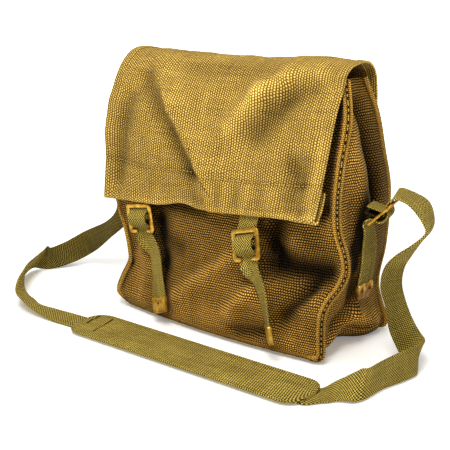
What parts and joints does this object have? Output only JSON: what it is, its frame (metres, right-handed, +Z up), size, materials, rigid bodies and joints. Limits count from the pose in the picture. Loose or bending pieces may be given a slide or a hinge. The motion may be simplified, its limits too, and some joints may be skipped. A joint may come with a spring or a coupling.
{
  "type": "canvas shoulder bag",
  "caption": "Soft wedge-shaped canvas shoulder bag with a full flap, webbing closure straps in brass buckles and a padded webbing shoulder strap, standing closed.",
  "frame": {"origin": "on the floor under the middle of the bag", "axes": "+Z up, +X to the bag's right as seen from the front, the flap's face towards -Y"},
  "size_m": [0.458, 0.1952, 0.2512],
  "materials": {
    "canvas": "coarse plain weave",
    "piping": "coarse plain weave",
    "webbing": "ribbed weave",
    "brass": "worn, satin"
  },
  "bodies": {
    "root": {"front_panel": "canvas", "back_panel": "canvas", "gusset": "canvas", "flap": "canvas", "front_piping": "piping", "back_piping": "piping", "closure_strap_left": "webbing", "closure_strap_right": "webbing", "closure_tab_left": "webbing", "closure_tab_right": "webbing", "side_tab_left": "webbing", "side_tab_right": "webbing", "strap_end_left": "webbing", "strap_end_right": "webbing", "shoulder_strap_left": "webbing", "shoulder_strap_right": "webbing", "shoulder_pad": "webbing", "closure_buckle_left": "brass", "closure_buckle_right": "brass", "closure_tip_left": "brass", "closure_tip_right": "brass", "side_buckle_left": "brass", "side_buckle_right": "brass", "strap_tip_left": "brass", "strap_tip_right": "brass"}
  },
  "joints": []
}
